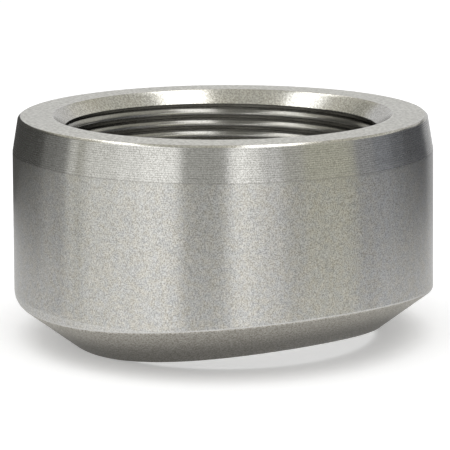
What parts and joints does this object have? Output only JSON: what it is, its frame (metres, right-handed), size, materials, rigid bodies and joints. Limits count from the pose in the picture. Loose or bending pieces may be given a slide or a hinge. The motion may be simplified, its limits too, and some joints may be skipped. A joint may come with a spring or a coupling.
{
  "type": "branch outlet fitting",
  "caption": "Round stainless branch outlet fitting with a tapped bore, a turned outlet band and a saddle base bevelled for welding to the side of a larger pipe.",
  "frame": {"origin": "centre of the base on the branch axis, level with the two lowest points of the base", "axes": "+Z along the branch axis to the outlet face, X along the run pipe that the base sits on"},
  "size_m": [0.0786, 0.0786, 0.0414],
  "materials": {
    "stainless_steel": "blasted matte side, turned satin band, bore and weld bevel"
  },
  "bodies": {
    "root": {"outlet_body": "stainless_steel"}
  },
  "joints": []
}
